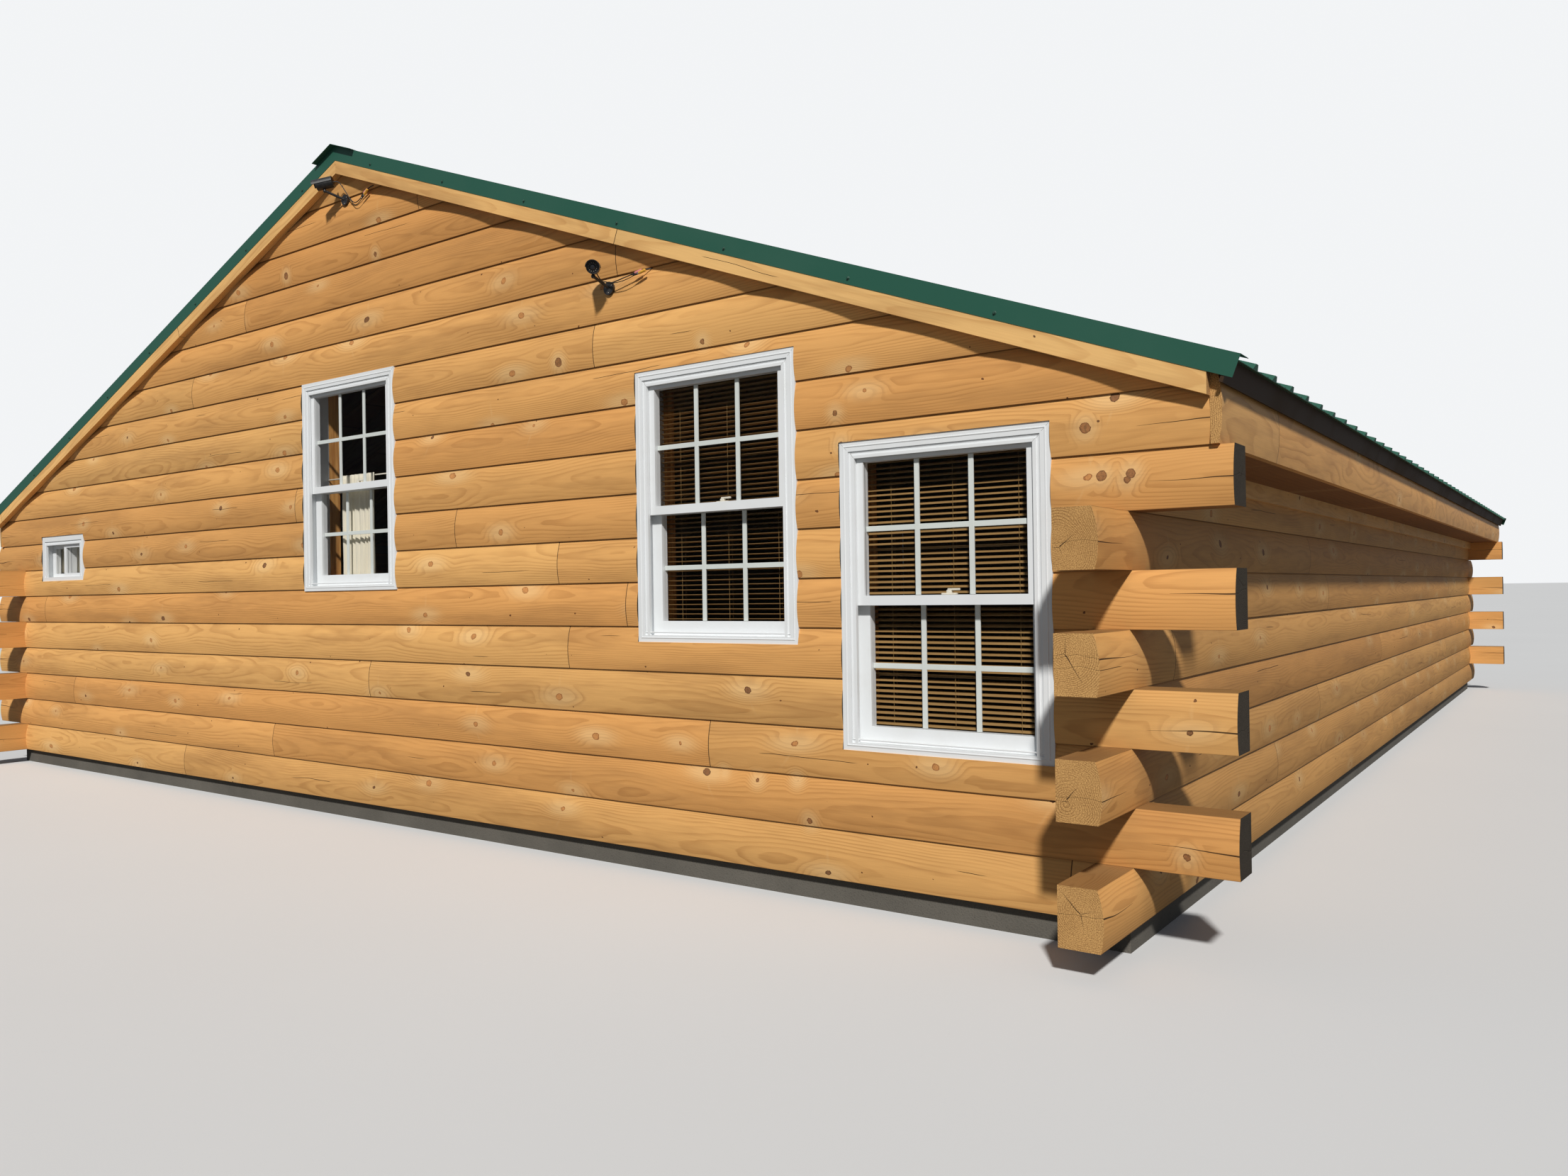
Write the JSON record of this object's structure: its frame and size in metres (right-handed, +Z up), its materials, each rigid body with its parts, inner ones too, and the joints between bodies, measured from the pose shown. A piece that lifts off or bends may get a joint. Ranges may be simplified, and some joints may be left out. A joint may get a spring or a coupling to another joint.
{
  "type": "log cabin",
  "caption": "Single-storey log cabin of milled D-section logs laid butt and pass at the corners, with a low gable roof of ribbed metal, double-hung windows and a plain back door.",
  "frame": {"origin": "on the ground, under the middle of the cabin", "axes": "+X across the front gable to the right, +Y along the ridge away from the front gable, +Z up"},
  "size_m": [9.6862, 12.35, 3.7873],
  "materials": {
    "concrete": "cast, rough",
    "floor_boards": "satin",
    "log_pine": "oiled, satin",
    "trim_pine": "oiled, satin",
    "framing_lumber": "sawn",
    "soffit_plywood": "stained, matte",
    "white_vinyl": "satin",
    "window_glass": "clear",
    "blind_slats": "satin",
    "curtain_cloth": "woven",
    "door_paint": "satin",
    "green_metal": "baked enamel, satin",
    "brown_metal": "baked enamel, satin",
    "black_plastic": "satin",
    "lead_jacket": "matte"
  },
  "bodies": {
    "root": {"foundation_slab": "concrete", "floor": "floor_boards", "front_wall_even_courses": "log_pine", "front_wall_odd_courses": "log_pine", "back_wall_even_courses": "log_pine", "back_wall_odd_courses": "log_pine", "left_wall_even_courses": "log_pine", "left_wall_odd_courses": "log_pine", "right_wall_even_courses": "log_pine", "right_wall_odd_courses": "log_pine", "left_window_frame": "white_vinyl", "left_window_sashes": "white_vinyl", "middle_window_frame": "white_vinyl", "middle_window_sashes": "white_vinyl", "right_window_frame": "white_vinyl", "right_window_sashes": "white_vinyl", "small_window_frame": "white_vinyl", "small_window_sashes": "white_vinyl", "back_window_frames": "white_vinyl", "back_window_sashes": "white_vinyl", "front_window_glass": "window_glass", "back_window_glass": "window_glass", "window_blinds": "blind_slats", "window_curtains": "curtain_cloth", "door_frame": "white_vinyl", "door_leaf": "door_paint", "wall_plates": "framing_lumber", "ridge_board": "framing_lumber", "rafters": "framing_lumber", "left_roof_deck": "framing_lumber", "right_roof_deck": "framing_lumber", "left_roof_panels": "green_metal", "right_roof_panels": "green_metal", "ridge_cap": "green_metal", "left_rake_boards": "trim_pine", "right_rake_boards": "trim_pine", "left_rake_trims": "green_metal", "right_rake_trims": "green_metal", "fascia_logs": "log_pine", "soffits": "soffit_plywood", "frieze_boards": "trim_pine", "eave_boards": "brown_metal", "camera_bodies": "black_plastic", "camera_brackets": "black_plastic", "upper_camera_lead": "lead_jacket", "lower_camera_lead": "lead_jacket"}
  },
  "joints": []
}
